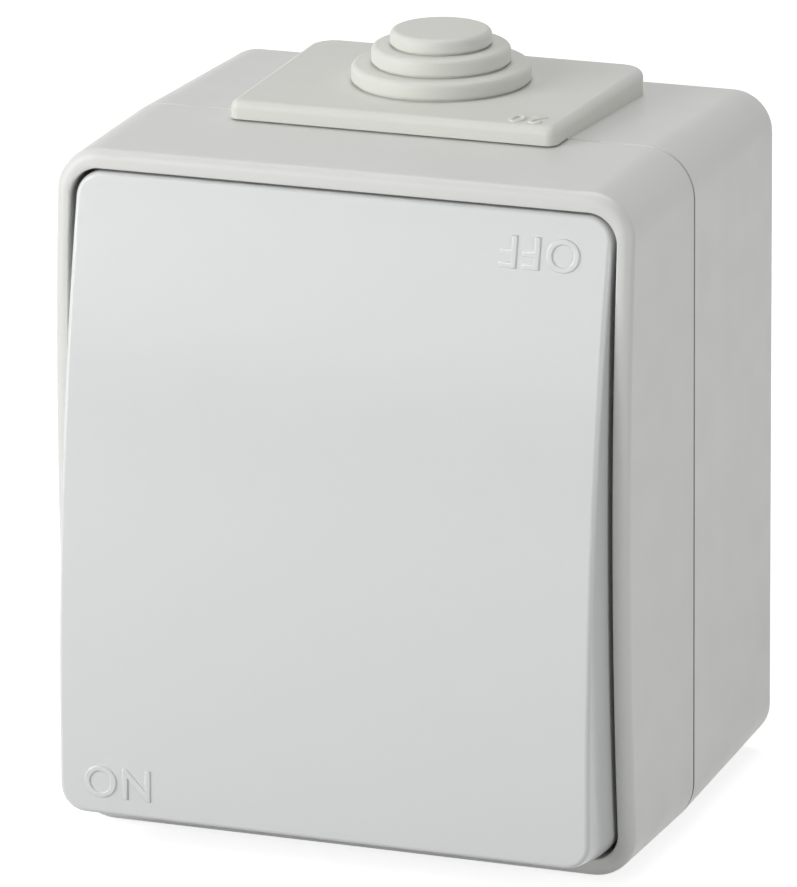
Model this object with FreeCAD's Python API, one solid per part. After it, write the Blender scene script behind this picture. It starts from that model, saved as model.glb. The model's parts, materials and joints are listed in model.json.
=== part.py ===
import FreeCAD, Part
import math
import os

# Outdoor weatherproof rocker switch, millimetres.
# Origin: middle of the back face that lies on the wall. -Y points out of the wall, +Z is up.

# Box
box_width = 66.0
box_height = 76.5
base_depth = 28.6
cover_depth = 18.7
seam_corner_radius = 5.4
back_corner_radius = 4.4
front_corner_radius = 5.0
back_side_draft = 0.7
back_end_draft = 0.85
front_draft = 0.35
rim_bow = 2.2
rim_edge_radius = 1.25
rim_inner_radius = 0.2
seam_chamfer = 0.25

# Walls of base and cover
base_wall = 2.4
back_wall = 2.2
rim_side_wall = 2.1
rim_end_wall = 2.43
opening_corner_radius = 3.3
floor_setback = 1.9
floor_thickness = 2.0
skirt_length = 2.8
skirt_thickness = 1.4
skirt_clearance = 0.2
skirt_notch_clearance = 1.5
least_corner_radius = 0.6
cut_overrun = 4.0

# Gasket between base and cover
gasket_width = 1.3
gasket_depth = 1.5
gasket_clearance = 0.05

# Cable entry
plate_half_width = 18.65
plate_flare = 0.9
plate_front_overhang = 3.95
plate_back_inset = 3.5
plate_thickness = 2.1
plate_front_radius = 1.2
plate_back_radius = 3.0
plate_edge_radius = 0.9
plate_shadow_gap = 0.18
entry_to_seam = 11.8
neck_radius = 9.3
neck_bore_radius = 7.9
lip_overhang = 0.8
lip_thickness = 1.6
step_radii = (9.8, 7.6, 5.55)
step_height = 2.0
top_step_height = 1.75
step_rim_radius = 0.65
step_groove_depth = 0.35
step_groove_height = 0.3
membrane_wall = 1.2
membrane_skin = 0.8

# Rocker, measured from its pivot
pivot_from_front = 1.35
rocker_swing = 6.8
rocker_side_gap = 0.42
rocker_face_height = 7.7
rocker_end_gap = 0.4
rocker_face_radius = 260.0
rocker_corner_radius = 2.8
rocker_edge_radius = 0.55
rocker_wall = 1.8
rocker_skirt_room = 7.05
rocker_draft = 0.015
rocker_rib_thickness = 1.2
rocker_rib_depth = 2.6
rocker_rib_offset = 13.0
stop_gap = 0.3
stop_pad_inset = 9.0
stop_pad_width = 6.0
stop_pad_length = 4.5

# Pivot pins and bearings
pin_radius = 1.5
pin_running_clearance = 0.05
pin_press_clearance = 0.01
bearing_inset = 9.74
bearing_thickness = 3.2
bearing_head_radius = 3.4
bearing_foot_half = 6.0
pin_rib_gap = 0.4
pin_rib_thickness = 2.2
pin_overhang = 0.3

# Stem, plunger and spring
stem_half_width = 3.0
stem_half_height = 2.6
stem_nose_gap = 5.85
stem_plug_length = 4.0
stem_shoulder = 1.5
stem_shoulder_rim = 1.5
socket_wall = 1.6
socket_depth = 2.0
socket_clearance = 0.02
stem_clearance = 0.45
plunger_radius = 1.7
plunger_clearance = 0.05
plunger_length = 11.0
plunger_gap = 0.12
bore_depth = 14.0
spring_wire_radius = 0.25
spring_turns = 5
spring_bends_per_turn = 6
spring_end_gap = 0.05

# Membrane round the stem
seal_flange_half_width = 9.0
seal_flange_half_height = 10.0
seal_flange_thickness = 1.0
seal_wall = 1.0
seal_height = 3.4
clamp_rim = 2.4
clamp_thickness = 1.4
clamp_peg_radius = 1.0
clamp_peg_clearance = 0.05

# Switch body
body_half_width = 15.0
body_half_height = 21.6
body_foot = 4.6
body_front = 21.4
chamber_half_width = 4.6
body_end_wall = 0.6
contact_floor = 7.3
pocket_clearance = 0.15
carrier_thickness = 1.8
carrier_leg_length = 7.0
carrier_leg_thickness = 1.1
carrier_leg_half = 3.5
carrier_barb = 0.7
access_hole_radius = 2.9
ear_radius = 3.2
ear_thickness = 2.4
ear_x = 11.0
ear_stand_off = 0.2

# Contacts
seesaw_axis = 9.95
seesaw_tilt = 8.0
seesaw_thickness = 1.3
seesaw_half_width = 3.2
seesaw_end_gap = 1.9
seesaw_bearing_radius = 0.6
seesaw_bearing_clearance = 0.08
tip_radius = 1.5
tip_height = 0.8
tip_inset = 1.9
tip_gap = 0.05
strip_thickness = 1.0
strip_half_width = 2.4

# Terminals
clamp_half = 3.0
clamp_height = 7.0
clamp_wall_gap = 1.5
wire_radius = 1.6
wire_height = 3.2
wire_hole_radius = 2.1
terminal_screw_radius = 1.4
terminal_screw_length = 6.0
screw_fit_clearance = 0.05

# Screws
screw_radius = 1.5
screw_head_radius = 2.8
screw_head_height = 2.0
screw_slot_width = 0.7
screw_slot_depth = 0.9
screw_hole_clearance = 0.3
cover_screw_side_inset = 6.2
cover_screw_end_inset = 7.85
cover_post_radius = 3.5
cover_post_gap = 0.4
cover_screw_length = 11.0
pilot_depth = 12.0
seal_ring_thickness = 0.8
mechanism_screw_length = 6.0
mechanism_pilot_depth = 5.5
mechanism_post_radius = 3.0

# Wall fixing and base details
wall_hole_radius = 2.25
wall_hole_side_inset = 10.5
wall_hole_end_inset = 20.75
wall_boss_radius = 4.6
wall_boss_height = 1.6
cradle_rib_thickness = 1.4
drain_radius = 3.5
drain_skin = 0.8
drain_from_wall = 14.0
rib_thickness = 1.4
loop_clamp_z = 2.0
loop_seat_height = 4.0

# Values worked out from the sizes above
half_width = box_width / 2
half_height = box_height / 2
seam_y = -base_depth
front_y = seam_y - cover_depth
rim_top_y = front_y - rim_bow
floor_back_y = seam_y - floor_setback
floor_front_y = floor_back_y - floor_thickness
post_top_y = floor_back_y + cover_post_gap
opening_half_width = half_width - rim_side_wall
opening_half_height = half_height - rim_end_wall
base_inner_half_width = half_width - base_wall
base_inner_half_height = half_height - base_wall
skirt_half_width = base_inner_half_width - skirt_clearance
skirt_half_height = base_inner_half_height - skirt_clearance
pivot_y = front_y + pivot_from_front
pivot = FreeCAD.Vector(0, pivot_y, 0)
rocker_half_width = opening_half_width - rocker_side_gap
rocker_end_radius = opening_half_height - rocker_end_gap
rocker_skirt_depth = floor_front_y - pivot_y - rocker_skirt_room
face_apex_y = pivot_y - rocker_face_height
entry_from_wall = base_depth - entry_to_seam
swing_slope = math.tan(math.radians(rocker_swing))
seesaw_y = -seesaw_axis
seesaw_pivot = FreeCAD.Vector(0, seesaw_y, 0)
seesaw_cosine = math.cos(math.radians(seesaw_tilt))
plunger_centre_y = seesaw_y - (plunger_radius + seesaw_thickness + plunger_gap) / seesaw_cosine
stem_end_y = plunger_centre_y - stem_nose_gap
carrier_front_y = -(body_front + carrier_thickness)
strip_y = -contact_floor
strip_front_y = strip_y - strip_thickness
terminal_top_z = body_half_height - body_end_wall - pocket_clearance - clamp_half
chamber_half_height = terminal_top_z - clamp_half - pocket_clearance - clamp_wall_gap
seesaw_wing = chamber_half_height - seesaw_end_gap
tip_place = seesaw_wing - tip_inset
terminal_side_x = chamber_half_width + clamp_wall_gap + pocket_clearance + clamp_half
terminal_front_y = strip_front_y - clamp_height
wire_y = strip_front_y - wire_height
screw_hole_radius = screw_radius + screw_hole_clearance
cover_screw_x = base_inner_half_width - cover_screw_side_inset
cover_screw_z = base_inner_half_height - cover_screw_end_inset
wall_hole_x = half_width - wall_hole_side_inset
wall_hole_z = half_height - wall_hole_end_inset
loop_clamp_x = -(base_inner_half_width + body_half_width + carrier_leg_thickness) / 2
bearing_inner_x = rocker_half_width - bearing_inset
bearing_outer_x = bearing_inner_x + bearing_thickness
pin_rib_x = bearing_outer_x + pin_rib_gap
edge_tolerance = 0.01
ear_z = body_half_height + mechanism_post_radius + ear_stand_off
ear_back_y = -body_foot - ear_thickness / 2
ear_front_y = ear_back_y - ear_thickness
lip_radius = neck_radius + lip_overhang
entry_low_z = half_height - base_wall - back_end_draft
entry_top_z = half_height + plate_thickness
spring_bends = spring_turns * spring_bends_per_turn
x_axis = FreeCAD.Vector(1, 0, 0)
y_axis = FreeCAD.Vector(0, 1, 0)
z_axis = FreeCAD.Vector(0, 0, 1)
mitred_corners = 1


def block(x_range, y_range, z_range):
    """Plain box between two corners."""
    corner = FreeCAD.Vector(min(x_range), min(y_range), min(z_range))
    size = [abs(pair[1] - pair[0]) for pair in (x_range, y_range, z_range)]
    return Part.makeBox(size[0], size[1], size[2], corner)


def rod(radius, start, direction, length):
    """Cylinder from a start point along a direction."""
    return Part.makeCylinder(radius, length, FreeCAD.Vector(*start), direction)


def rounded_outline(half_x, half_z, radius, y):
    """Closed rounded rectangle in a plane of constant y."""
    edges = []
    ends = []
    for turn, (side_x, side_z) in enumerate([(1, 1), (-1, 1), (-1, -1), (1, -1)]):
        centre = FreeCAD.Vector(side_x * (half_x - radius), y, side_z * (half_z - radius))
        points = []
        for step in (0, 45, 90):
            angle = math.radians(90 * turn + step)
            points.append(centre + FreeCAD.Vector(math.cos(angle), 0, math.sin(angle)) * radius)
        edges.append(Part.Arc(*points).toShape())
        ends.append((points[0], points[2]))
    for turn in range(4):
        edges.append(Part.LineSegment(ends[turn][1], ends[(turn + 1) % 4][0]).toShape())
    return Part.Wire(Part.__sortEdges__(edges))


def prism(half_x, half_z, radius, y_start, y_end):
    """Straight rounded block between two planes of constant y."""
    face = Part.Face(rounded_outline(half_x, half_z, radius, y_start))
    return face.extrude(FreeCAD.Vector(0, y_end - y_start, 0))


def tapered(*sections):
    """Rounded block through outlines, each (half_x, half_z, radius, y)."""
    return Part.makeLoft([rounded_outline(*section) for section in sections], True, True)


def shrunk(section, inset, y):
    """Outline values with every side moved in, at another y."""
    half_x, half_z, radius, _ = section
    return (half_x - inset, half_z - inset, radius - inset, y)


def ring(half_x, half_z, radius, thickness, y_start, y_end):
    """Rounded rectangular ring with a constant wall inside the given outline."""
    outer = prism(half_x, half_z, radius, y_start, y_end)
    inner_radius = max(radius - thickness, least_corner_radius)
    inner = prism(half_x - thickness, half_z - thickness, inner_radius, y_start, y_end)
    return outer.cut(inner)


def bowed_body(apex_y, radius):
    """Large cylinder along X whose front line lies at apex_y, used to bow a front."""
    start = (-box_width, apex_y + radius, 0)
    return rod(radius, start, x_axis, 2 * box_width)


def turned_about(shape, centre, degrees):
    """Copy of the shape turned about the X direction through a centre."""
    copy = shape.copy()
    copy.rotate(centre, x_axis, degrees)
    return copy


def merged(shapes):
    """One clean solid from overlapping shapes."""
    return shapes[0].multiFuse(shapes[1:]).removeSplitter()


def edges_where(shape, test):
    """Edges whose every vertex passes the test."""
    return [edge for edge in shape.Edges if all(test(vertex.Point) for vertex in edge.Vertexes)]


def mirrored_places(x, z):
    """The four places in the corners of a rectangle."""
    return [(side_x * x, side_z * z) for side_x in (-1, 1) for side_z in (-1, 1)]


def diagonal_places(x, z):
    """Upper left and lower right place."""
    return [(-x, z), (x, -z)]


def base_envelope():
    """Outer form of the base without its hollow."""
    back = (half_width - back_side_draft, half_height - back_end_draft, back_corner_radius, 0)
    shoulder = (half_width, half_height, seam_corner_radius, seam_y + seam_chamfer)
    return tapered(back, shoulder, shrunk(shoulder, seam_chamfer, seam_y))


def cover_section(y):
    """Outline values of the drafted cover at a given y."""
    share = (seam_y - y) / cover_depth
    inset = front_draft * share
    radius = seam_corner_radius + (front_corner_radius - seam_corner_radius) * share
    return (half_width - inset, half_height - inset, radius, y)


def cover_envelope():
    """Outer form of the cover with its bowed front rim and soft edge."""
    shoulder = cover_section(seam_y - seam_chamfer)
    foot = shrunk(shoulder, seam_chamfer, seam_y)
    block_form = tapered(foot, shoulder, cover_section(rim_top_y - rim_bow))
    bow_radius = (half_height ** 2 + rim_bow ** 2) / (2 * rim_bow)
    form = block_form.common(bowed_body(rim_top_y, bow_radius))
    front_edges = edges_where(form, lambda point: point.y < front_y + rim_inner_radius)
    return form.makeFillet(rim_edge_radius, front_edges)


def neck_hole():
    """Round hole through the top wall for the neck of the cable entry."""
    start = (0, -entry_from_wall, half_height - base_wall - cut_overrun)
    return rod(neck_radius, start, z_axis, base_wall + 2 * cut_overrun)


def wall_hole_cutters():
    """Round holes to the wall."""
    reach = back_wall + wall_boss_height
    places = mirrored_places(wall_hole_x, wall_hole_z)
    return [rod(wall_hole_radius, (x, -reach, z), y_axis, reach) for x, z in places]


def base_posts():
    """Posts, bosses, cradle ribs and seats that stand on the back wall."""
    shapes = []
    for x, z in diagonal_places(cover_screw_x, cover_screw_z):
        shapes.append(rod(cover_post_radius, (x, post_top_y, z), y_axis, -back_wall - post_top_y))
        rib_z = (z, math.copysign(base_inner_half_height + base_wall / 2, z))
        rib_x = (x - rib_thickness / 2, x + rib_thickness / 2)
        rib_y = (-back_wall, post_top_y / 2)
        shapes.append(block(rib_x, rib_y, rib_z))
    for x, z in diagonal_places(ear_x, ear_z):
        shapes.append(rod(mechanism_post_radius, (x, ear_back_y, z), y_axis, -back_wall - ear_back_y))
    for x, z in mirrored_places(wall_hole_x, wall_hole_z):
        shapes.append(rod(wall_boss_radius, (x, -back_wall - wall_boss_height, z), y_axis, wall_boss_height))
    for side in (-1, 1):
        rib_x = (side * body_half_width / 2, side * (body_half_width / 2 - cradle_rib_thickness))
        rib_z = (-body_half_height, body_half_height)
        shapes.append(block(rib_x, (-back_wall, -body_foot), rib_z))
    seat_x = (loop_clamp_x - clamp_half - rib_thickness, loop_clamp_x + clamp_half + rib_thickness)
    seat_z = (loop_clamp_z - clamp_half - rib_thickness, loop_clamp_z + clamp_half + rib_thickness)
    shapes.append(block(seat_x, (-back_wall, -back_wall - loop_seat_height - clamp_half), seat_z))
    return shapes


def base_cutters():
    """Everything that is open in the base besides its main hollow."""
    cutters = wall_hole_cutters()
    cutters.append(neck_hole())
    rebate_half_x = skirt_half_width + gasket_clearance + gasket_width
    rebate_half_z = skirt_half_height + gasket_clearance + gasket_width
    rebate_radius = seam_corner_radius - base_wall + gasket_width
    rebate_y = (seam_y + gasket_depth, seam_y - gasket_depth)
    cutters.append(prism(rebate_half_x, rebate_half_z, rebate_radius, *rebate_y))
    for x, z in diagonal_places(cover_screw_x, cover_screw_z):
        cutters.append(rod(screw_radius, (x, post_top_y, z), y_axis, pilot_depth))
    for x, z in diagonal_places(ear_x, ear_z):
        cutters.append(rod(screw_radius, (x, ear_back_y, z), y_axis, mechanism_pilot_depth))
    drain_start = (0, -drain_from_wall, -half_height + drain_skin + back_end_draft)
    cutters.append(rod(drain_radius, drain_start, z_axis, base_wall))
    seat_x = (loop_clamp_x - clamp_half, loop_clamp_x + clamp_half)
    seat_z = (loop_clamp_z - clamp_half, loop_clamp_z + clamp_half)
    cutters.append(block(seat_x, (-back_wall - loop_seat_height, seam_y), seat_z))
    wire_start = (loop_clamp_x, -back_wall - loop_seat_height - clamp_half, loop_clamp_z + clamp_half)
    cutters.append(rod(wire_radius, wire_start, z_axis, rib_thickness))
    return cutters


def base_housing():
    """Back box: drafted tub with posts, ribs and the cable hole."""
    drafted_back = (
        base_inner_half_width - back_side_draft,
        base_inner_half_height - back_end_draft,
        back_corner_radius - base_wall / 2,
        -back_wall,
    )
    open_front = (base_inner_half_width, base_inner_half_height, seam_corner_radius - base_wall, seam_y)
    hollow = tapered(drafted_back, open_front)
    shell = merged([base_envelope().cut(hollow)] + base_posts())
    return shell.cut(base_cutters()).removeSplitter()


def cover_shell():
    """Rim, side walls and floor of the cover."""
    opening_y = (floor_front_y, rim_top_y - rim_bow)
    opening = prism(opening_half_width, opening_half_height, opening_corner_radius, *opening_y)
    recess_half_x = skirt_half_width - skirt_thickness
    recess_half_z = skirt_half_height - skirt_thickness
    recess_radius = seam_corner_radius - base_wall - skirt_thickness
    recess = prism(recess_half_x, recess_half_z, recess_radius, seam_y, floor_back_y)
    shell = cover_envelope().cut([opening, recess])
    reach = opening_half_width + edge_tolerance
    rim = edges_where(shell, lambda point: point.y < pivot_y and abs(point.x) < reach)
    return shell.makeFillet(rim_inner_radius, rim)


def cover_skirt():
    """Tongue that reaches into the base, with a notch for the cable entry."""
    radius = seam_corner_radius - base_wall
    skirt_y = (floor_back_y, seam_y + skirt_length)
    skirt = ring(skirt_half_width, skirt_half_height, radius, skirt_thickness, *skirt_y)
    notch_half = lip_radius + skirt_notch_clearance
    notch_z = (half_height / 2, half_height)
    notch = block((-notch_half, notch_half), (seam_y, seam_y + 2 * skirt_length), notch_z)
    return skirt.cut(notch)


def bearing_upright(side):
    """Upright with the bearing hole for one pivot pin."""
    x_range = (side * bearing_inner_x, side * bearing_outer_x)
    foot = [(bearing_foot_half, floor_front_y), (-bearing_foot_half, floor_front_y)]
    head = [(-bearing_head_radius, pivot_y), (bearing_head_radius, pivot_y)]
    corners = [FreeCAD.Vector(min(x_range), y, z) for z, y in foot + head]
    wall = Part.Face(Part.makePolygon(corners + corners[:1])).extrude(x_axis * bearing_thickness)
    crown = rod(bearing_head_radius, (min(x_range), pivot_y, 0), x_axis, bearing_thickness)
    bore = rod(pin_radius + pin_running_clearance, (min(x_range), pivot_y, 0), x_axis, bearing_thickness)
    return wall.fuse(crown).cut(bore)


def stop_pads():
    """Pads on the floor that the pressed end of the rocker stops on."""
    skirt_end = math.sqrt(rocker_end_radius ** 2 - rocker_skirt_depth ** 2)
    angle = math.radians(rocker_swing)
    edge_y = pivot_y + rocker_skirt_depth * math.cos(angle) + skirt_end * math.sin(angle)
    top_y = edge_y + stop_gap
    pads = []
    for side_x, side_z in mirrored_places(1, 1):
        x_range = (side_x * stop_pad_inset, side_x * (stop_pad_inset + stop_pad_width))
        inner_z = opening_half_height - stop_pad_length
        z_range = (side_z * inner_z, side_z * (opening_half_height + rim_end_wall / 2))
        pads.append(block(x_range, (floor_front_y, top_y), z_range))
    return pads


def slot_half_height(y, clearance):
    """Half height that the swinging stem needs at a given y."""
    reach = abs(y - pivot_y)
    return reach * swing_slope + stem_half_height / math.cos(math.radians(rocker_swing)) + clearance


def peg_places():
    """Places of the pegs that hold the membrane clamp."""
    outward = clamp_peg_radius / 2
    return mirrored_places(seal_flange_half_width + outward, seal_flange_half_height + outward)


def cover_frame():
    """Front frame with floor, skirt, bearings, stops and pegs."""
    parts = [cover_shell(), cover_skirt(), bearing_upright(-1), bearing_upright(1)] + stop_pads()
    peg_length = seal_flange_thickness + clamp_thickness
    for x, z in peg_places():
        parts.append(rod(clamp_peg_radius, (x, floor_front_y - peg_length, z), y_axis, peg_length))
    frame = merged(parts)
    slot_height = slot_half_height(floor_back_y, stem_clearance)
    slot_width = stem_half_width + stem_clearance
    cutters = [block((-slot_width, slot_width), (floor_back_y, floor_front_y), (-slot_height, slot_height))]
    for x, z in diagonal_places(cover_screw_x, cover_screw_z):
        cutters.append(rod(screw_hole_radius, (x, floor_front_y, z), y_axis, floor_thickness))
    return frame.cut(cutters).removeSplitter()


def cover_gasket():
    """Ring that seals the joint between base and cover."""
    half_x = skirt_half_width + gasket_width
    half_z = skirt_half_height + gasket_width
    radius = seam_corner_radius - base_wall + gasket_width
    return ring(half_x, half_z, radius, gasket_width - gasket_clearance, seam_y + gasket_depth, seam_y)


def entry_profile():
    """Half section of the stepped membrane's outside, as a closed wire."""
    z = entry_top_z
    outline = [(0, half_height), (neck_radius, half_height)]
    for radius, top_z in zip(step_radii, step_tops()):
        outline.append((radius - step_groove_depth, z))
        outline.append((radius - step_groove_depth, z + step_groove_height))
        outline.append((radius, z + step_groove_height))
        outline.append((radius, top_z))
        z = top_z
    outline.append((0, z))
    points = [FreeCAD.Vector(r, -entry_from_wall, height) for r, height in outline]
    return Part.makePolygon(points + points[:1])


def step_tops():
    """Height of the top of every step."""
    tops = []
    z = entry_top_z
    for index in range(len(step_radii)):
        z += top_step_height if index == len(step_radii) - 1 else step_height
        tops.append(z)
    return tops


def step_rims(steps):
    """Upper circular edge of every step."""
    rims = []
    for edge in steps.Edges:
        if not isinstance(edge.Curve, Part.Circle):
            continue
        for radius, top_z in zip(step_radii, step_tops()):
            on_rim = abs(edge.Curve.Radius - radius) < edge_tolerance
            if on_rim and abs(edge.Curve.Center.z - top_z) < edge_tolerance:
                rims.append(edge)
    return rims


def entry_hollow():
    """Stepped hollow under the membrane."""
    shapes = []
    start_z = entry_low_z - lip_thickness - cut_overrun
    for radius, top_z in zip(step_radii, step_tops()):
        inner = min(radius - membrane_wall - step_groove_depth, neck_bore_radius)
        height = top_z - membrane_skin - start_z
        shapes.append(rod(inner, (0, -entry_from_wall, start_z), z_axis, height))
    return shapes


def entry_plate():
    """Flange plate that widens towards the back, with rounded corners and upper edge."""
    back_half_width = plate_half_width + plate_flare
    front = seam_y - plate_front_overhang
    middle = (front - plate_back_inset) / 2
    outline = [(-plate_half_width, front), (plate_half_width, front)]
    outline += [(back_half_width, -plate_back_inset), (-back_half_width, -plate_back_inset)]
    points = [FreeCAD.Vector(x, y, entry_low_z) for x, y in outline]
    plate = Part.Face(Part.makePolygon(points + points[:1])).extrude(z_axis * (entry_top_z - entry_low_z))
    for radius, behind in ((plate_front_radius, False), (plate_back_radius, True)):
        corners = []
        for side in (-1, 1):
            corners += edges_where(plate, lambda p: p.x * side > 0 and (p.y > middle) == behind)
        plate = plate.makeFillet(radius, corners)
    top_edges = edges_where(plate, lambda point: point.z > entry_top_z - plate_edge_radius)
    return plate.makeFillet(plate_edge_radius, top_edges)


def cable_grommet(base):
    """Soft flange plate with neck, inner lip and stepped membrane."""
    lifted_cover = cover_envelope()
    lifted_cover.translate(FreeCAD.Vector(0, 0, plate_shadow_gap))
    plate = entry_plate().cut([base_envelope(), lifted_cover])
    steps = Part.Face(entry_profile()).revolve(FreeCAD.Vector(0, -entry_from_wall, 0), z_axis, 360)
    steps = steps.makeFillet(step_rim_radius, step_rims(steps))
    neck = rod(neck_radius, (0, -entry_from_wall, entry_low_z), z_axis, half_height - entry_low_z)
    lip_start = (0, -entry_from_wall, entry_low_z - lip_thickness)
    lip = rod(lip_radius, lip_start, z_axis, lip_thickness + back_end_draft)
    body = merged([plate, steps, neck, lip.cut(base)])
    return body.cut(entry_hollow()).removeSplitter()


def rocker_form(inset):
    """Paddle with drafted sides, ends curved about the pivot and a bowed face, moved in by a wall."""
    skirt_y = pivot_y + rocker_skirt_depth
    lead_y = face_apex_y - rocker_wall
    side_x = rocker_half_width - inset
    lead_x = side_x - rocker_draft * (skirt_y - lead_y)
    profile = [(-side_x, skirt_y), (side_x, skirt_y), (lead_x, lead_y), (-lead_x, lead_y)]
    points = [FreeCAD.Vector(x, y, -half_height) for x, y in profile]
    sides = Part.Face(Part.makePolygon(points + points[:1])).extrude(z_axis * box_height)
    ends = rod(rocker_end_radius - inset, (-box_width, pivot_y, 0), x_axis, 2 * box_width)
    ends = turned_about(ends, pivot, -90)
    form = sides.common(ends).common(bowed_body(face_apex_y + inset, rocker_face_radius - inset))
    corners = []
    for toward_x, toward_z in mirrored_places(1, 1):
        corners += edges_where(form, lambda point: point.x * toward_x > 0 and point.z * toward_z > 0)
    return form.makeFillet(rocker_corner_radius - inset, corners)


def rocker_shell():
    """Outside with a rounded edge, and the hollow inside it."""
    outer = rocker_form(0)
    outer = outer.makeFillet(rocker_edge_radius, edges_where(outer, lambda point: point.y < pivot_y))
    return outer, rocker_form(rocker_wall)


def rocker_inner_parts(inner):
    """Ribs, pin bosses and the stem socket on the rocker's inside."""
    shapes = []
    for side in (-1, 1):
        rib_x = (side * rocker_rib_offset, side * (rocker_rib_offset + rocker_rib_thickness))
        rib_y = (face_apex_y, face_apex_y + rocker_wall + rocker_rib_depth + rocker_wall)
        shapes.append(block(rib_x, rib_y, (-rocker_end_radius, rocker_end_radius)))
        boss_x = (side * pin_rib_x, side * (pin_rib_x + pin_rib_thickness))
        shapes.append(block(boss_x, (face_apex_y, pivot_y), (-bearing_head_radius, bearing_head_radius)))
        shapes.append(rod(bearing_head_radius, (min(boss_x), pivot_y, 0), x_axis, pin_rib_thickness))
    socket_x = stem_half_width + socket_wall
    socket_z = stem_half_height + socket_wall
    shapes.append(block((-socket_x, socket_x), (face_apex_y, pivot_y + socket_depth), (-socket_z, socket_z)))
    reach_x = (-half_width, half_width)
    reach = block(reach_x, (pivot_y, pivot_y + rocker_skirt_depth), (-half_height, half_height))
    trimmed = []
    for shape in shapes:
        trimmed.append(shape.common(inner.fuse(reach)))
    return trimmed


def rocker():
    """Rocker with ribs, bosses and socket, in its rest tilt."""
    outer, inner = rocker_shell()
    body = merged([outer.cut(inner)] + rocker_inner_parts(inner))
    plug_x = stem_half_width + socket_clearance
    plug_z = stem_half_height + socket_clearance
    plug_start = pivot_y + socket_depth - stem_plug_length
    cutters = [block((-plug_x, plug_x), (plug_start, pivot_y + socket_depth), (-plug_z, plug_z))]
    for side in (-1, 1):
        start = (min(side * pin_rib_x, side * (pin_rib_x + pin_rib_thickness)), pivot_y, 0)
        cutters.append(rod(pin_radius + pin_press_clearance, start, x_axis, pin_rib_thickness))
    body = body.cut(cutters).removeSplitter()
    return turned_about(body, pivot, -rocker_swing)


def pivot_pin(side):
    """Stub axle through an upright and the rocker's boss."""
    inner_x = bearing_inner_x - pin_overhang
    outer_x = pin_rib_x + pin_rib_thickness + pin_overhang
    start = (min(side * inner_x, side * outer_x), pivot_y, 0)
    return rod(pin_radius, start, x_axis, outer_x - inner_x)


def actuator_stem():
    """Square stem with shoulder and a bore for the plunger, in its rest tilt."""
    socket_y = pivot_y + socket_depth
    width = (-stem_half_width, stem_half_width)
    height = (-stem_half_height, stem_half_height)
    shank = block(width, (socket_y - stem_plug_length, stem_end_y), height)
    rim = stem_shoulder_rim
    shoulder_x = (width[0] - rim, width[1] + rim)
    shoulder_z = (height[0] - rim, height[1] + rim)
    shoulder = block(shoulder_x, (socket_y, socket_y + stem_shoulder), shoulder_z)
    bore_start = (0, stem_end_y - bore_depth, 0)
    bore = rod(plunger_radius + plunger_clearance, bore_start, y_axis, bore_depth)
    return turned_about(merged([shank, shoulder]).cut(bore), pivot, -rocker_swing)


def plunger():
    """Round-nosed plunger in the stem's bore, in its rest tilt."""
    start_y = plunger_centre_y - plunger_length
    shaft = rod(plunger_radius, (0, start_y, 0), y_axis, plunger_length)
    nose = Part.makeSphere(plunger_radius, FreeCAD.Vector(0, plunger_centre_y, 0))
    return turned_about(merged([shaft, nose]), pivot, -rocker_swing)


def plunger_spring():
    """Coil spring between the bore's end and the plunger, in its rest tilt."""
    start_y = stem_end_y - bore_depth + spring_wire_radius + spring_end_gap
    end_y = plunger_centre_y - plunger_length - spring_wire_radius - spring_end_gap
    coil_radius = plunger_radius - plunger_clearance - spring_wire_radius
    points = []
    for bend in range(spring_bends + 1):
        angle = 2 * math.pi * bend / spring_bends_per_turn
        y = start_y + (end_y - start_y) * bend / spring_bends
        points.append(FreeCAD.Vector(coil_radius * math.cos(angle), y, coil_radius * math.sin(angle)))
    section = Part.Wire([Part.makeCircle(spring_wire_radius, points[0], points[1] - points[0])])
    coil = Part.makePolygon(points).makePipeShell([section], True, True, mitred_corners)
    return turned_about(coil, pivot, -rocker_swing)


def sealing_membrane():
    """Soft seal: a flange on the floor and a funnel round the stem."""
    flange_y = floor_front_y - seal_flange_thickness
    flange = prism(seal_flange_half_width, seal_flange_half_height, seal_wall, floor_front_y, flange_y)
    foot_z = slot_half_height(floor_front_y, stem_clearance)
    neck_z = slot_half_height(floor_front_y - seal_height, stem_clearance)
    inner_x = stem_half_width + stem_clearance
    outer_foot = (inner_x + seal_wall, foot_z + seal_wall, seal_wall, floor_front_y)
    outer_neck = (inner_x + seal_wall, neck_z + seal_wall, seal_wall, floor_front_y - seal_height)
    funnel = tapered(outer_foot, outer_neck)
    hole_foot = (inner_x, foot_z, seal_wall / 2, floor_front_y)
    hole_neck = (inner_x, neck_z, seal_wall / 2, floor_front_y - seal_height)
    return merged([flange, funnel]).cut(tapered(hole_foot, hole_neck))


def membrane_clamp():
    """Plate on pegs that holds the membrane's flange down."""
    start_y = floor_front_y - seal_flange_thickness
    end_y = start_y - clamp_thickness
    half_x = seal_flange_half_width + clamp_rim
    half_z = seal_flange_half_height + clamp_rim
    plate = ring(half_x, half_z, clamp_rim, 2 * clamp_rim, start_y, end_y)
    holes = []
    for x, z in peg_places():
        holes.append(rod(clamp_peg_radius + clamp_peg_clearance, (x, end_y, z), y_axis, clamp_thickness))
    return plate.cut(holes)


def clamp_pocket(x, z):
    """Pocket for one terminal, open to the front."""
    half = clamp_half + pocket_clearance
    return block((x - half, x + half), (strip_y, -body_front), (z - half, z + half))


def strip_slot(x_range, z_range):
    """Slot in the floor of the body for a contact strip."""
    return block(x_range, (strip_y, strip_front_y - pocket_clearance), z_range)


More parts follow.
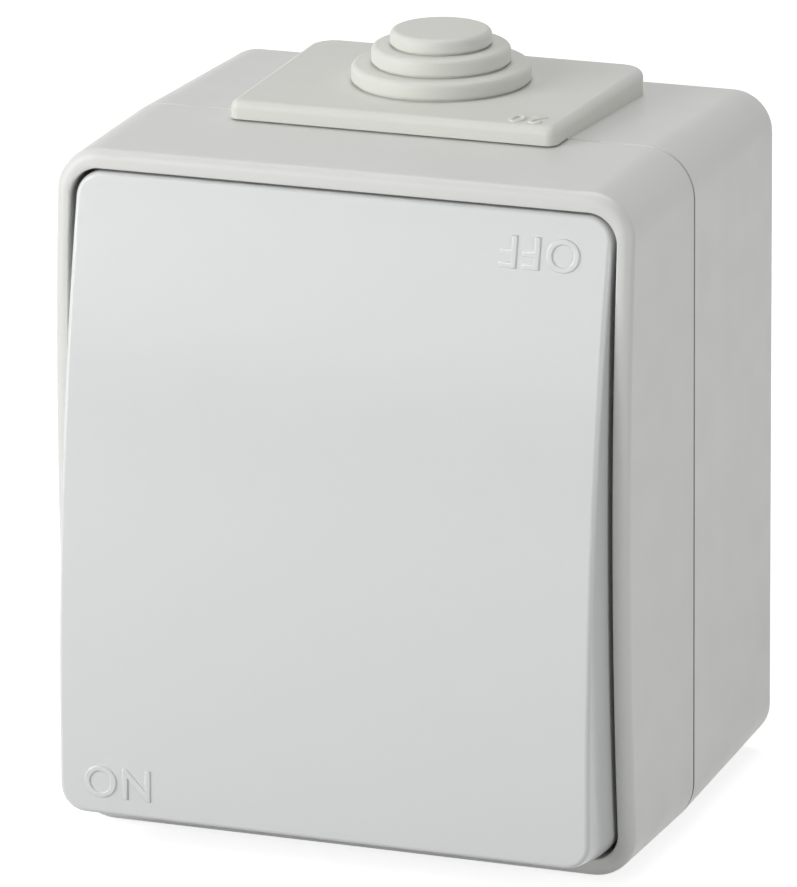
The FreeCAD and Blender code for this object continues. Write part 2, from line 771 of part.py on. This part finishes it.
def switch_body():
    """Housing of the contacts, with terminal pockets, wire holes and screw ears."""
    body_x = (-body_half_width, body_half_width)
    body_z = (-body_half_height, body_half_height)
    shapes = [block(body_x, (-body_foot, -body_front), body_z)]
    for x, z in diagonal_places(ear_x, ear_z):
        shapes.append(rod(ear_radius, (x, ear_front_y, z), y_axis, ear_thickness))
        web_x = (x - ear_radius, x + ear_radius)
        web_z = (z, math.copysign(body_half_height - ear_radius / 2, z))
        shapes.append(block(web_x, (ear_back_y, ear_front_y), web_z))
    half = strip_half_width + pocket_clearance
    chamber_x = (-chamber_half_width, chamber_half_width)
    chamber_z = (-chamber_half_height, chamber_half_height)
    cutters = [
        block(chamber_x, (strip_y, -body_front), chamber_z),
        clamp_pocket(0, terminal_top_z),
        clamp_pocket(0, -terminal_top_z),
        clamp_pocket(terminal_side_x, 0),
        strip_slot((-half, half), (-terminal_top_z, terminal_top_z)),
        strip_slot((0, terminal_side_x), (-half, half)),
        rod(wire_hole_radius, (0, wire_y, terminal_top_z), z_axis, body_half_height),
        rod(wire_hole_radius, (0, wire_y, -terminal_top_z), -z_axis, body_half_height),
        rod(wire_hole_radius, (terminal_side_x, wire_y, 0), x_axis, body_half_width),
    ]
    for x, z in diagonal_places(ear_x, ear_z):
        cutters.append(rod(screw_hole_radius, (x, ear_front_y, z), y_axis, ear_thickness))
    for side in (-1, 1):
        catch_x = (side * body_half_width, side * (body_half_width - carrier_barb))
        leg_end_y = -body_front + carrier_leg_length
        catch_y = (leg_end_y, leg_end_y - 2 * carrier_barb)
        cutters.append(block(catch_x, catch_y, (-carrier_leg_half, carrier_leg_half)))
    return merged(shapes).cut(cutters).removeSplitter()


def terminal_places():
    """Places of the three terminals in the switch body."""
    return [(0, terminal_top_z), (0, -terminal_top_z), (terminal_side_x, 0)]


def switch_carrier():
    """Front plate of the switch with a window, screw access holes and clip legs."""
    plate_x = (-body_half_width, body_half_width)
    plate_z = (-body_half_height, body_half_height)
    shapes = [block(plate_x, (-body_front, carrier_front_y), plate_z)]
    leg_end_y = -body_front + carrier_leg_length
    for side in (-1, 1):
        outer_x = side * (body_half_width + carrier_leg_thickness)
        leg_z = (-carrier_leg_half, carrier_leg_half)
        shapes.append(block((side * body_half_width, outer_x), (carrier_front_y, leg_end_y), leg_z))
        barb_x = (side * (body_half_width - carrier_barb), outer_x)
        shapes.append(block(barb_x, (leg_end_y, leg_end_y - 2 * carrier_barb), leg_z))
    window_x = stem_half_width + 2 * stem_clearance
    window_z = slot_half_height(-body_front, stem_clearance)
    cutters = [block((-window_x, window_x), (-body_front, carrier_front_y), (-window_z, window_z))]
    for x, z in terminal_places():
        cutters.append(rod(access_hole_radius, (x, carrier_front_y, z), y_axis, carrier_thickness))
    return merged(shapes).cut(cutters)


def contact_rocker():
    """See-saw contact: a shallow V with a bearing groove, in its rest tilt."""
    wings = []
    wing_x = (-seesaw_half_width, seesaw_half_width)
    wing_y = (seesaw_y, seesaw_y - seesaw_thickness)
    for side in (-1, 1):
        wing = block(wing_x, wing_y, (0, side * seesaw_wing))
        wings.append(turned_about(wing, seesaw_pivot, side * seesaw_tilt))
    shape = merged(wings)
    groove_radius = seesaw_bearing_radius + seesaw_bearing_clearance
    groove = rod(groove_radius, (-box_width / 2, seesaw_y, 0), x_axis, box_width)
    return turned_about(shape.cut(groove), seesaw_pivot, seesaw_tilt)


def moving_contact_tips():
    """Silver tips under the ends of the see-saw, in its rest tilt."""
    tips = []
    for side in (-1, 1):
        tip = rod(tip_radius, (0, seesaw_y, side * tip_place), y_axis, tip_height)
        tips.append(turned_about(tip, seesaw_pivot, side * seesaw_tilt))
    return turned_about(Part.makeCompound(tips), seesaw_pivot, seesaw_tilt)


def end_contact(side):
    """Strip from under one end of the see-saw to its terminal."""
    inner_z = side * (tip_place - tip_radius)
    outer_z = side * (terminal_top_z + clamp_half)
    return block((-strip_half_width, strip_half_width), (strip_y, strip_front_y), (inner_z, outer_z))


def common_contact():
    """Strip with the saddle that carries the see-saw."""
    strip_x = (-strip_half_width, terminal_side_x + clamp_half)
    strip = block(strip_x, (strip_y, strip_front_y), (-strip_half_width, strip_half_width))
    saddle_x = (-strip_half_width, strip_half_width)
    saddle_z = (-seesaw_bearing_radius, seesaw_bearing_radius)
    saddle = block(saddle_x, (strip_front_y, seesaw_y), saddle_z)
    ridge = rod(seesaw_bearing_radius, (-strip_half_width, seesaw_y, 0), x_axis, 2 * strip_half_width)
    return merged([strip, saddle, ridge])


def fixed_contact_tips():
    """Silver tips on the two end strips."""
    height = seesaw_y + tip_height + tip_gap - strip_front_y
    return Part.makeCompound([
        rod(tip_radius, (0, strip_front_y + height, side * tip_place), y_axis, -height) for side in (-1, 1)
    ])


def terminal(x, z, seat_y, wire_axis):
    """Clamp block with a wire hole and a screw hole."""
    half = clamp_half
    shape = block((x - half, x + half), (seat_y, seat_y - clamp_height), (z - half, z + half))
    wire_start = FreeCAD.Vector(x, seat_y - wire_height, z) - wire_axis * half
    wire = Part.makeCylinder(wire_radius, 2 * half, wire_start, wire_axis)
    hole_radius = terminal_screw_radius + screw_fit_clearance
    hole = rod(hole_radius, (x, seat_y - clamp_height, z), y_axis, clamp_height - wire_height)
    return shape.cut([wire, hole])


def slotted_screw(x, z, seat_y, radius, length):
    """Pan head screw that points to the wall, with a straight slot in its head."""
    head = rod(screw_head_radius, (x, seat_y - screw_head_height, z), y_axis, screw_head_height)
    shank = rod(radius, (x, seat_y, z), y_axis, length)
    top_y = seat_y - screw_head_height
    slot_z = (z - screw_slot_width / 2, z + screw_slot_width / 2)
    slot = block((x - screw_head_radius, x + screw_head_radius), (top_y, top_y + screw_slot_depth), slot_z)
    return merged([head, shank]).cut(slot)


def terminal_screw(x, z, clamp_front_y):
    """Headless clamp screw that stands out of its terminal."""
    start_y = clamp_front_y - terminal_screw_length / 2
    shank = rod(terminal_screw_radius, (x, start_y, z), y_axis, terminal_screw_length)
    slot_z = (z - screw_slot_width / 2, z + screw_slot_width / 2)
    slot = block((x - clamp_half, x + clamp_half), (start_y, start_y + screw_slot_depth), slot_z)
    return shank.cut(slot)


def terminal_screws():
    """The three clamp screws of the switch."""
    return Part.makeCompound([terminal_screw(x, z, terminal_front_y) for x, z in terminal_places()])


def mechanism_screws():
    """Two screws through the ears of the switch body."""
    radius = screw_radius - screw_fit_clearance
    screws = []
    for x, z in diagonal_places(ear_x, ear_z):
        screws.append(slotted_screw(x, z, ear_front_y, radius, mechanism_screw_length))
    return Part.makeCompound(screws)


def cover_screws():
    """Two screws through the floor of the cover into the base."""
    seat_y = floor_front_y - seal_ring_thickness
    radius = screw_radius - screw_fit_clearance
    screws = []
    for x, z in diagonal_places(cover_screw_x, cover_screw_z):
        screws.append(slotted_screw(x, z, seat_y, radius, cover_screw_length))
    return Part.makeCompound(screws)


def cover_screw_seals():
    """Rubber washers under the heads of the cover screws."""
    seals = []
    for x, z in diagonal_places(cover_screw_x, cover_screw_z):
        start = (x, floor_front_y - seal_ring_thickness, z)
        disc = rod(screw_head_radius, start, y_axis, seal_ring_thickness)
        seals.append(disc.cut(rod(screw_radius, start, y_axis, seal_ring_thickness)))
    return Part.makeCompound(seals)


def loop_terminal():
    """Spare clamp in its seat in the base."""
    return terminal(loop_clamp_x, loop_clamp_z, -back_wall - loop_seat_height, z_axis)


def loop_terminal_screw():
    """Screw of the spare clamp."""
    return terminal_screw(loop_clamp_x, loop_clamp_z, -back_wall - loop_seat_height - clamp_height)


def all_nodes():
    """Every piece by its node name."""
    base = base_housing()
    return {
        "base_housing": base,
        "cable_grommet": cable_grommet(base),
        "cover_frame": cover_frame(),
        "cover_gasket": cover_gasket(),
        "cover_screws": cover_screws(),
        "cover_screw_seals": cover_screw_seals(),
        "rocker": rocker(),
        "pivot_pin_left": pivot_pin(-1),
        "pivot_pin_right": pivot_pin(1),
        "actuator_stem": actuator_stem(),
        "plunger": plunger(),
        "plunger_spring": plunger_spring(),
        "sealing_membrane": sealing_membrane(),
        "membrane_clamp": membrane_clamp(),
        "switch_body": switch_body(),
        "switch_carrier": switch_carrier(),
        "contact_rocker": contact_rocker(),
        "moving_contact_tips": moving_contact_tips(),
        "common_contact": common_contact(),
        "upper_contact": end_contact(1),
        "lower_contact": end_contact(-1),
        "fixed_contact_tips": fixed_contact_tips(),
        "common_terminal": terminal(terminal_side_x, 0, strip_front_y, x_axis),
        "upper_terminal": terminal(0, terminal_top_z, strip_front_y, z_axis),
        "lower_terminal": terminal(0, -terminal_top_z, strip_front_y, z_axis),
        "terminal_screws": terminal_screws(),
        "mechanism_screws": mechanism_screws(),
        "loop_terminal": loop_terminal(),
        "loop_terminal_screw": loop_terminal_screw(),
    }


os.makedirs("parts", exist_ok=True)
for node, shape in all_nodes().items():
    shape.exportStep("parts/" + node + ".step")
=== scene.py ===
import json
import math

import bpy
from mathutils import Matrix, Vector


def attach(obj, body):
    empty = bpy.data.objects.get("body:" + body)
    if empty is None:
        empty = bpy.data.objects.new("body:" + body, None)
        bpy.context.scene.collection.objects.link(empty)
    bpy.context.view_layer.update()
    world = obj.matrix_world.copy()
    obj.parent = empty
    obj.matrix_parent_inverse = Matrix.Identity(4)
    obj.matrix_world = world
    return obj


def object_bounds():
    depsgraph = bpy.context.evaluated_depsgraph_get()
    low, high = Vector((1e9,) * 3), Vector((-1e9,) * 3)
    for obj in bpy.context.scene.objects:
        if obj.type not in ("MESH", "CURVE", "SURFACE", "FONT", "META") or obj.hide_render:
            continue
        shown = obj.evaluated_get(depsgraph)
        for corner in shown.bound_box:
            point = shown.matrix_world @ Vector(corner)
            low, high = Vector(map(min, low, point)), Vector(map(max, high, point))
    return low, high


# Outdoor weatherproof rocker switch, dressed. Metres, in the frame of the solids:
# origin in the middle of the wall face, -Y out of the wall, +Z up.

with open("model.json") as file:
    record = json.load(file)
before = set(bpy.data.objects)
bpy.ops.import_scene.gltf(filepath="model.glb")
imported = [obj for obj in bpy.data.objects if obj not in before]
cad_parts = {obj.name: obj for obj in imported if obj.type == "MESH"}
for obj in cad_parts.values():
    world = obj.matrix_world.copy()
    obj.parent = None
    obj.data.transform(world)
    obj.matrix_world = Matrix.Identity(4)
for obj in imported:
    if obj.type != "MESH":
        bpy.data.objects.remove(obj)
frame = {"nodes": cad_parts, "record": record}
cad_box = [list(corner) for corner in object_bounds()]

MM = 0.001

# Camera, angles in degrees
CAMERA_AZIMUTH = 20.738
CAMERA_ELEVATION = 17.106
CAMERA_ROLL = -0.55
CAMERA_DISTANCE = 0.8842
CAMERA_TARGET = Vector((0.006167, -0.0473, 0.00848))
CAMERA_LENS = 337.97
SENSOR_WIDTH = 36.0
CLIP_START = 0.05
CLIP_END = 30.0

# Rocker face: a shallow bow about the pivot, tilted at rest
PIVOT_Y = -45.95 * MM
FACE_APEX_Y = PIVOT_Y - 7.7 * MM
FACE_RADIUS = 260.0 * MM
REST_TILT = math.radians(-6.8)

# Top of the entry's plate
PLATE_TOP_Z = 40.35 * MM

# Painted shade in the groove between base and cover: dark at the sides, fading out towards the top
SEAM_Y = -28.6 * MM
SEAM_HALF_WIDTH = 0.22 * MM
SEAM_FADE_Z = (33.0 * MM, 38.0 * MM)
PAINTED_SEAM_SHADE_STRENGTH = 0.8
PAINTED_SEAM_SHADE_COLOUR = (0.05, 0.05, 0.05, 1)

# Detail shared by all materials
NOISE_RANGE = (0.3, 0.7)
DRIFT_SCALE = 45.0
POLISH_SCALE = 220.0
GRAIN_SCALE = 2600.0
GRAIN_STRENGTH = 0.5
SURFACE_IOR = 1.5

# Shading of the solids
WELD_DISTANCE = 1e-6
EDGE_ANGLE = math.radians(24.0)
FLAT_WEIGHT = 80

# Raised characters: half the straight part of their flanks, and how far their outline is drawn in
# as a share of the relief
MARK_SPACING = 1.12
MARK_CURVE_STEPS = 10
MARK_BEVEL_STEPS = 4
MARK_STRAIGHT = 0.02 * MM
MARK_DRAW_IN = 0.4
# where the first character starts, height of the capitals and relief
ON_CORNER = (-27.3 * MM, -33.1 * MM)
OFF_CORNER = (26.9 * MM, 32.3 * MM)
ROCKER_CAPITALS = 3.4 * MM
ROCKER_RELIEF = 0.16 * MM
ENTRY_CORNER = (16.4 * MM, -28.6 * MM)
ENTRY_CAPITALS = 2.6 * MM
ENTRY_RELIEF = 0.13 * MM

# Studio
FLOOR_HALF = 6.0
FLOOR_GAP = 0.05 * MM
FLOOR_GREY = (0.45, 0.45, 0.45, 1)
FLOOR_GLOW = 0.80
WORLD_COLOUR = (0.97, 0.985, 1.0, 1)
WORLD_LIGHT = 0.2
LAMP_TARGET = Vector((0, -0.03, 0.0))
# Lamps: name, azimuth and elevation in degrees, distance, width, height, radiance
LAMPS = (
    ("key", -45.0, 24.0, 0.55, 0.36, 0.36, 2.47),
    ("low_key", -50.0, 10.0, 0.6, 0.42, 0.42, 3.6),
    ("front", -24.0, 17.0, 0.9, 0.42, 0.42, 1.3),
    ("top", 180.0, 74.0, 1.1, 0.8, 0.8, 2.6),
    ("fill", 68.0, 8.0, 0.34, 0.16, 0.16, 3.5),
)

# What surface() is given for each slot. Grain and wave are heights in millimetres, and brushed
# stretches the grain along the axes where it is small.
LOOKS = {
    # housing_plastic carries painted shade in the groove between base and cover.
    "housing_plastic": dict(colour=(0.672, 0.672, 0.650), rough=(0.30, 0.40),
                            grain=0.006, wave=0.01, joint=True),
    "rocker_plastic": dict(colour=(0.690, 0.705, 0.697), rough=(0.13, 0.19), shade=0.006,
                           grain=0.0015, wave_scale=38.0, wave=0.035),
    "soft_grey": dict(colour=(0.668, 0.672, 0.626), rough=(0.46, 0.58), shade=0.015, grain=0.012),
    "seal_rubber": dict(colour=(0.018, 0.018, 0.019), rough=(0.55, 0.75), shade=0.2, grain=0.03),
    "inner_plastic": dict(colour=(0.78, 0.76, 0.69), rough=(0.38, 0.52), grain=0.008),
    "switch_plastic": dict(colour=(0.028, 0.028, 0.031), rough=(0.35, 0.5), shade=0.1,
                           grain=0.012),
    "brass": dict(colour=(0.72, 0.50, 0.19), rough=(0.22, 0.38), metallic=1.0, shade=0.06,
                  grain=0.01, brushed=(1.0, 0.08, 1.0)),
    "silver": dict(colour=(0.86, 0.85, 0.82), rough=(0.16, 0.28), metallic=1.0, shade=0.04,
                   grain=0.008),
    "zinc_steel": dict(colour=(0.60, 0.61, 0.62), rough=(0.28, 0.42), metallic=1.0, shade=0.06,
                       grain=0.012, brushed=(1.0, 1.0, 0.12)),
    "pin_steel": dict(colour=(0.56, 0.56, 0.57), rough=(0.16, 0.26), metallic=1.0, shade=0.03,
                      grain=0.006, brushed=(0.1, 1.0, 1.0)),
}


def noise(tree, where, scale, detail=2.0, roughness=0.5):
    """Noise texture read in the object's own coordinates."""
    node = tree.nodes.new("ShaderNodeTexNoise")
    node.inputs["Scale"].default_value = scale
    node.inputs["Detail"].default_value = detail
    node.inputs["Roughness"].default_value = roughness
    tree.links.new(where.outputs["Object"], node.inputs["Vector"])
    return node


def map_range(tree, source, old, new):
    """Value mapped from one range to another."""
    node = tree.nodes.new("ShaderNodeMapRange")
    for name, value in zip(("From Min", "From Max", "To Min", "To Max"), (*old, *new)):
        node.inputs[name].default_value = value
    tree.links.new(source, node.inputs["Value"])
    return node.outputs["Result"]


def calculate(tree, operation, *values):
    """Result of a math node. Each value is a number or the output of another node."""
    node = tree.nodes.new("ShaderNodeMath")
    node.operation = operation
    for socket, value in zip(node.inputs, values):
        if isinstance(value, bpy.types.NodeSocket):
            tree.links.new(value, socket)
        else:
            socket.default_value = value
    return node.outputs[0]


def mix_colours(tree, factor):
    """Colour mix node driven by the given output."""
    node = tree.nodes.new("ShaderNodeMix")
    node.data_type = "RGBA"
    tree.links.new(factor, node.inputs["Factor"])
    return node


def bump(tree, height, strength, distance):
    """Bump node over a texture, distance in millimetres."""
    node = tree.nodes.new("ShaderNodeBump")
    node.inputs["Strength"].default_value = strength
    node.inputs["Distance"].default_value = distance * MM
    tree.links.new(height.outputs["Fac"], node.inputs["Height"])
    return node


def painted_seam_shade(tree, where):
    """Painted shade in the groove between base and cover: 0 elsewhere and along its top."""
    axes = tree.nodes.new("ShaderNodeSeparateXYZ")
    tree.links.new(where.outputs["Object"], axes.inputs["Vector"])
    near = calculate(tree, "COMPARE", axes.outputs["Y"], SEAM_Y, SEAM_HALF_WIDTH)
    fade = map_range(tree, axes.outputs["Z"], SEAM_FADE_Z, (PAINTED_SEAM_SHADE_STRENGTH, 0.0))
    return calculate(tree, "MULTIPLY", near, fade)


def surface(name, colour, rough, metallic=0.0, shade=0.012, grain=0.004,
            wave_scale=60.0, wave=0.0, brushed=None, joint=False):
    """Procedural material: colour drift, uneven gloss, fine grain and slow waves, and painted
    shade in the seam groove where asked.
    """
    mat = bpy.data.materials.new(name)
    mat.use_nodes = True
    tree = mat.node_tree
    bsdf = tree.nodes["Principled BSDF"]
    where = tree.nodes.new("ShaderNodeTexCoord")

    drift = mix_colours(tree, noise(tree, where, DRIFT_SCALE, detail=3.0).outputs["Fac"])
    drift.inputs["A"].default_value = (*[c * (1 - shade) for c in colour], 1)
    drift.inputs["B"].default_value = (*[min(1.0, c * (1 + shade)) for c in colour], 1)
    paint = drift.outputs["Result"]
    # Painted shade: the colour is darkened in the groove between base and cover.
    if joint:
        painted_seam_mix = mix_colours(tree, painted_seam_shade(tree, where))
        painted_seam_mix.inputs["B"].default_value = PAINTED_SEAM_SHADE_COLOUR
        tree.links.new(paint, painted_seam_mix.inputs["A"])
        paint = painted_seam_mix.outputs["Result"]
    tree.links.new(paint, bsdf.inputs["Base Color"])

    polish = noise(tree, where, POLISH_SCALE, detail=4.0)
    tree.links.new(map_range(tree, polish.outputs["Fac"], NOISE_RANGE, rough),
                   bsdf.inputs["Roughness"])
    bsdf.inputs["Metallic"].default_value = metallic
    bsdf.inputs["IOR"].default_value = SURFACE_IOR

    grain_noise = noise(tree, where, GRAIN_SCALE, roughness=0.6)
    if brushed:
        stretch = tree.nodes.new("ShaderNodeMapping")
        stretch.inputs["Scale"].default_value = brushed
        tree.links.new(where.outputs["Object"], stretch.inputs["Vector"])
        tree.links.new(stretch.outputs["Vector"], grain_noise.inputs["Vector"])
    relief = bump(tree, grain_noise, GRAIN_STRENGTH, grain)
    if wave:
        slow = bump(tree, noise(tree, where, wave_scale, detail=1.0), 1.0, wave)
        tree.links.new(relief.outputs["Normal"], slow.inputs["Normal"])
        relief = slow
    tree.links.new(relief.outputs["Normal"], bsdf.inputs["Normal"])
    return mat


def flatten_normals(piece):
    """Keep broad faces flat where they meet rounded edges."""
    flats = piece.modifiers.new("flats", "WEIGHTED_NORMAL")
    flats.weight = FLAT_WEIGHT
    return flats


def smooth(mesh):
    """Shade all faces smooth."""
    mesh.polygons.foreach_set("use_smooth", [True] * len(mesh.polygons))


def dress_solids():
    """Give each solid its material and smooth shading between its real edges."""
    slot_of = {row["node"]: row["material_slot"] for row in frame["record"]["subparts"]}
    for name, node in frame["nodes"].items():
        mesh = node.data
        mesh.materials.clear()
        mesh.materials.append(by_slot[slot_of[name]])
        mesh.polygons.foreach_set("material_index", [0] * len(mesh.polygons))
        smooth(mesh)
        weld = node.modifiers.new("weld", "WELD")
        weld.merge_threshold = WELD_DISTANCE
        split = node.modifiers.new("split", "EDGE_SPLIT")
        split.split_angle = EDGE_ANGLE
        flatten_normals(node).keep_sharp = True


def on_face(x, v, height):
    """Point of the tilted rocker face, x across, v along its length, height above it."""
    bow = FACE_RADIUS - math.sqrt(FACE_RADIUS ** 2 - v ** 2)
    y = FACE_APEX_Y + bow - height - PIVOT_Y
    cosine, sine = math.cos(REST_TILT), math.sin(REST_TILT)
    return Vector((x, PIVOT_Y + y * cosine - v * sine, y * sine + v * cosine))


def on_plate(x, y, height):
    """Point above the entry's plate."""
    return Vector((x, y, PLATE_TOP_Z + height))


def raised_mark(name, text, place, corner, cap_height, turned, relief, body, slot):
    """Raised characters with rounded flanks, laid onto a surface by place(x, v, height).

    corner is the point where the first character starts, at its foot.
    """
    curve = bpy.data.curves.new(name, "FONT")
    curve.body = text
    curve.size = 1.0
    curve.resolution_u = MARK_CURVE_STEPS
    curve.space_character = MARK_SPACING
    source = bpy.data.objects.new(name + "_text", curve)
    bpy.context.scene.collection.objects.link(source)
    bpy.context.view_layer.update()
    flat = bpy.data.meshes.new_from_object(source)
    left = min(v.co.x for v in flat.vertices)
    foot = min(v.co.y for v in flat.vertices)
    scale = cap_height / (max(v.co.y for v in flat.vertices) - foot)
    bpy.data.meshes.remove(flat)
    curve.extrude = MARK_STRAIGHT / scale
    curve.bevel_depth = relief / scale
    curve.bevel_resolution = MARK_BEVEL_STEPS
    curve.offset = -MARK_DRAW_IN * relief / scale
    bpy.context.view_layer.update()
    mesh = bpy.data.meshes.new_from_object(source)
    bpy.data.objects.remove(source)
    sign = -1 if turned else 1
    for vertex in mesh.vertices:
        u = sign * (vertex.co.x - left) * scale
        v = sign * (vertex.co.y - foot) * scale
        vertex.co = place(corner[0] + u, corner[1] + v, vertex.co.z * scale)
    mesh.materials.clear()
    mesh.materials.append(by_slot[slot])
    smooth(mesh)
    piece = bpy.data.objects.new(name, mesh)
    bpy.context.scene.collection.objects.link(piece)
    flatten_normals(piece)
    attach(piece, body)


def seen_directly(tree):
    """1 for camera, glossy and transmission rays, 0 for light that falls on things."""
    path = tree.nodes.new("ShaderNodeLightPath")
    seen = calculate(tree, "MAXIMUM", path.outputs["Is Camera Ray"], path.outputs["Is Glossy Ray"])
    return calculate(tree, "MAXIMUM", seen, path.outputs["Is Transmission Ray"])


def build_floor():
    """Plain pale floor that keeps the shadow but is seen as white."""
    z = cad_box[0][2] - FLOOR_GAP
    square = ((-1, -1), (1, -1), (1, 1), (-1, 1))
    mesh = bpy.data.meshes.new("floor")
    mesh.from_pydata([(x * FLOOR_HALF, y * FLOOR_HALF, z) for x, y in square], [], [(0, 1, 2, 3)])
    floor = bpy.data.objects.new("floor", mesh)
    bpy.context.scene.collection.objects.link(floor)
    mat = bpy.data.materials.new("floor_white")
    mat.use_nodes = True
    tree = mat.node_tree
    tree.nodes.clear()
    out = tree.nodes.new("ShaderNodeOutputMaterial")
    diffuse = tree.nodes.new("ShaderNodeBsdfDiffuse")
    diffuse.inputs["Color"].default_value = FLOOR_GREY
    glow = tree.nodes.new("ShaderNodeEmission")
    tree.links.new(calculate(tree, "MULTIPLY", seen_directly(tree), FLOOR_GLOW),
                   glow.inputs["Strength"])
    total = tree.nodes.new("ShaderNodeAddShader")
    tree.links.new(diffuse.outputs[0], total.inputs[0])
    tree.links.new(glow.outputs[0], total.inputs[1])
    tree.links.new(total.outputs[0], out.inputs["Surface"])
    mesh.materials.append(mat)


def build_world():
    """Even studio surround, seen as white by the camera and in reflections."""
    world = bpy.data.worlds.new("studio")
    bpy.context.scene.world = world
    world.use_nodes = True
    tree = world.node_tree
    tree.nodes.clear()
    out = tree.nodes.new("ShaderNodeOutputWorld")
    plain = tree.nodes.new("ShaderNodeBackground")
    plain.inputs["Color"].default_value = WORLD_COLOUR
    plain.inputs["Strength"].default_value = WORLD_LIGHT
    white = tree.nodes.new("ShaderNodeBackground")
    white.inputs["Strength"].default_value = 1.0
    mix = tree.nodes.new("ShaderNodeMixShader")
    tree.links.new(seen_directly(tree), mix.inputs["Fac"])
    tree.links.new(plain.outputs[0], mix.inputs[1])
    tree.links.new(white.outputs[0], mix.inputs[2])
    tree.links.new(mix.outputs[0], out.inputs["Surface"])


def direction(azimuth, elevation):
    """Unit vector away from the object, azimuth 0 straight in front and positive to the right."""
    a, e = math.radians(azimuth), math.radians(elevation)
    return Vector((math.sin(a) * math.cos(e), -math.cos(a) * math.cos(e), math.sin(e)))


def soft_box(name, azimuth, elevation, distance, width, height, radiance):
    """Rectangular lamp facing the object."""
    data = bpy.data.lights.new(name, "AREA")
    data.shape = "RECTANGLE"
    data.size = width
    data.size_y = height
    data.energy = radiance * width * height * math.pi
    lamp = bpy.data.objects.new(name, data)
    away = direction(azimuth, elevation)
    lamp.location = LAMP_TARGET + away * distance
    lamp.rotation_mode = "QUATERNION"
    lamp.rotation_quaternion = away.to_track_quat("Z", "Y")
    bpy.context.scene.collection.objects.link(lamp)


def build_camera():
    """Camera at the photograph's angle, rolled about its line of sight."""
    view = bpy.data.cameras.new("camera")
    view.sensor_fit = "AUTO"
    view.sensor_width = SENSOR_WIDTH
    view.lens = CAMERA_LENS
    view.clip_start = CLIP_START
    view.clip_end = CLIP_END
    camera = bpy.data.objects.new("camera", view)
    back = direction(CAMERA_AZIMUTH, CAMERA_ELEVATION)
    right = Vector((0, 0, 1)).cross(back).normalized()
    up = back.cross(right)
    roll = math.radians(CAMERA_ROLL)
    turned_right = right * math.cos(roll) + up * math.sin(roll)
    turned_up = up * math.cos(roll) - right * math.sin(roll)
    turn = Matrix((turned_right, turned_up, back)).transposed().to_4x4()
    camera.matrix_world = Matrix.Translation(CAMERA_TARGET + back * CAMERA_DISTANCE) @ turn
    bpy.context.scene.collection.objects.link(camera)
    bpy.context.scene.camera = camera


by_slot = {slot: surface(slot, **look) for slot, look in LOOKS.items()}
dress_solids()

raised_mark("mark_on", "ON", on_face, ON_CORNER, ROCKER_CAPITALS, False,
            ROCKER_RELIEF, "rocker", "rocker_plastic")
raised_mark("mark_off", "OFF", on_face, OFF_CORNER, ROCKER_CAPITALS, True,
            ROCKER_RELIEF, "rocker", "rocker_plastic")
raised_mark("mark_entry_size", "20", on_plate, ENTRY_CORNER, ENTRY_CAPITALS, True,
            ENTRY_RELIEF, "housing", "soft_grey")

build_world()
build_floor()
for lamp in LAMPS:
    soft_box(*lamp)
build_camera()
bpy.context.scene.view_settings.view_transform = "Standard"
